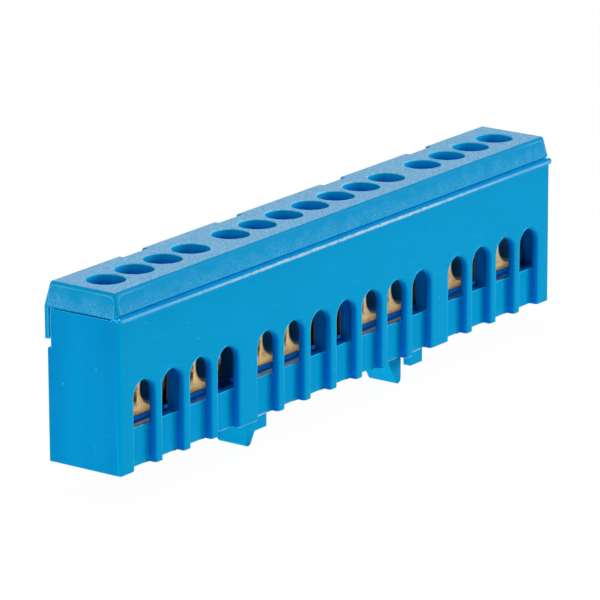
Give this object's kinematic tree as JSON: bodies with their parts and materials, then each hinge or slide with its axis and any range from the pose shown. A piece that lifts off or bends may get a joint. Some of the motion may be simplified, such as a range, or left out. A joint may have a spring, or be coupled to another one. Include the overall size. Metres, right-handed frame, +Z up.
{
  "type": "neutral terminal block",
  "caption": "Blue insulated terminal block for neutral wires: a brass bar with clamp screws behind arched wire slots, in a housing that clips across a mounting rail.",
  "frame": {"origin": "middle of the block, level with the tips of its rail hooks", "axes": "+X along the block, -Y towards the side where the wires enter, +Z up towards the screwdriver wells"},
  "size_m": [0.1084, 0.0138, 0.032],
  "materials": {
    "housing": "satin",
    "cover": "fine grain",
    "bus_bar": "drawn",
    "screw": "zinc plated"
  },
  "bodies": {
    "block": {"housing": "housing", "cover": "cover", "bus_bar": "bus_bar"},
    "screw_01": {"screw_01": "screw"},
    "screw_02": {"screw_02": "screw"},
    "screw_03": {"screw_03": "screw"},
    "screw_04": {"screw_04": "screw"},
    "screw_05": {"screw_05": "screw"},
    "screw_06": {"screw_06": "screw"},
    "screw_07": {"screw_07": "screw"},
    "screw_08": {"screw_08": "screw"},
    "screw_09": {"screw_09": "screw"},
    "screw_10": {"screw_10": "screw"},
    "screw_11": {"screw_11": "screw"},
    "screw_12": {"screw_12": "screw"},
    "screw_13": {"screw_13": "screw"},
    "screw_14": {"screw_14": "screw"},
    "screw_15": {"screw_15": "screw"}
  },
  "joints": [
    {"name": "turn_screw_01", "type": "slide", "parent": "block", "child": "screw_01", "axis": [0, 0, -1], "range_m": [0, 0.0042]},
    {"name": "turn_screw_02", "type": "slide", "parent": "block", "child": "screw_02", "axis": [0, 0, -1], "range_m": [0, 0.0042]},
    {"name": "turn_screw_03", "type": "slide", "parent": "block", "child": "screw_03", "axis": [0, 0, -1], "range_m": [0, 0.0042]},
    {"name": "turn_screw_04", "type": "slide", "parent": "block", "child": "screw_04", "axis": [0, 0, -1], "range_m": [0, 0.0042]},
    {"name": "turn_screw_05", "type": "slide", "parent": "block", "child": "screw_05", "axis": [0, 0, -1], "range_m": [0, 0.0042]},
    {"name": "turn_screw_06", "type": "slide", "parent": "block", "child": "screw_06", "axis": [0, 0, -1], "range_m": [0, 0.0042]},
    {"name": "turn_screw_07", "type": "slide", "parent": "block", "child": "screw_07", "axis": [0, 0, -1], "range_m": [0, 0.0042]},
    {"name": "turn_screw_08", "type": "slide", "parent": "block", "child": "screw_08", "axis": [0, 0, -1], "range_m": [0, 0.0042]},
    {"name": "turn_screw_09", "type": "slide", "parent": "block", "child": "screw_09", "axis": [0, 0, -1], "range_m": [0, 0.0042]},
    {"name": "turn_screw_10", "type": "slide", "parent": "block", "child": "screw_10", "axis": [0, 0, -1], "range_m": [0, 0.0042]},
    {"name": "turn_screw_11", "type": "slide", "parent": "block", "child": "screw_11", "axis": [0, 0, -1], "range_m": [0, 0.0042]},
    {"name": "turn_screw_12", "type": "slide", "parent": "block", "child": "screw_12", "axis": [0, 0, -1], "range_m": [0, 0.0042]},
    {"name": "turn_screw_13", "type": "slide", "parent": "block", "child": "screw_13", "axis": [0, 0, -1], "range_m": [0, 0.0042]},
    {"name": "turn_screw_14", "type": "slide", "parent": "block", "child": "screw_14", "axis": [0, 0, -1], "range_m": [0, 0.0042]},
    {"name": "turn_screw_15", "type": "slide", "parent": "block", "child": "screw_15", "axis": [0, 0, -1], "range_m": [0, 0.0042]}
  ]
}
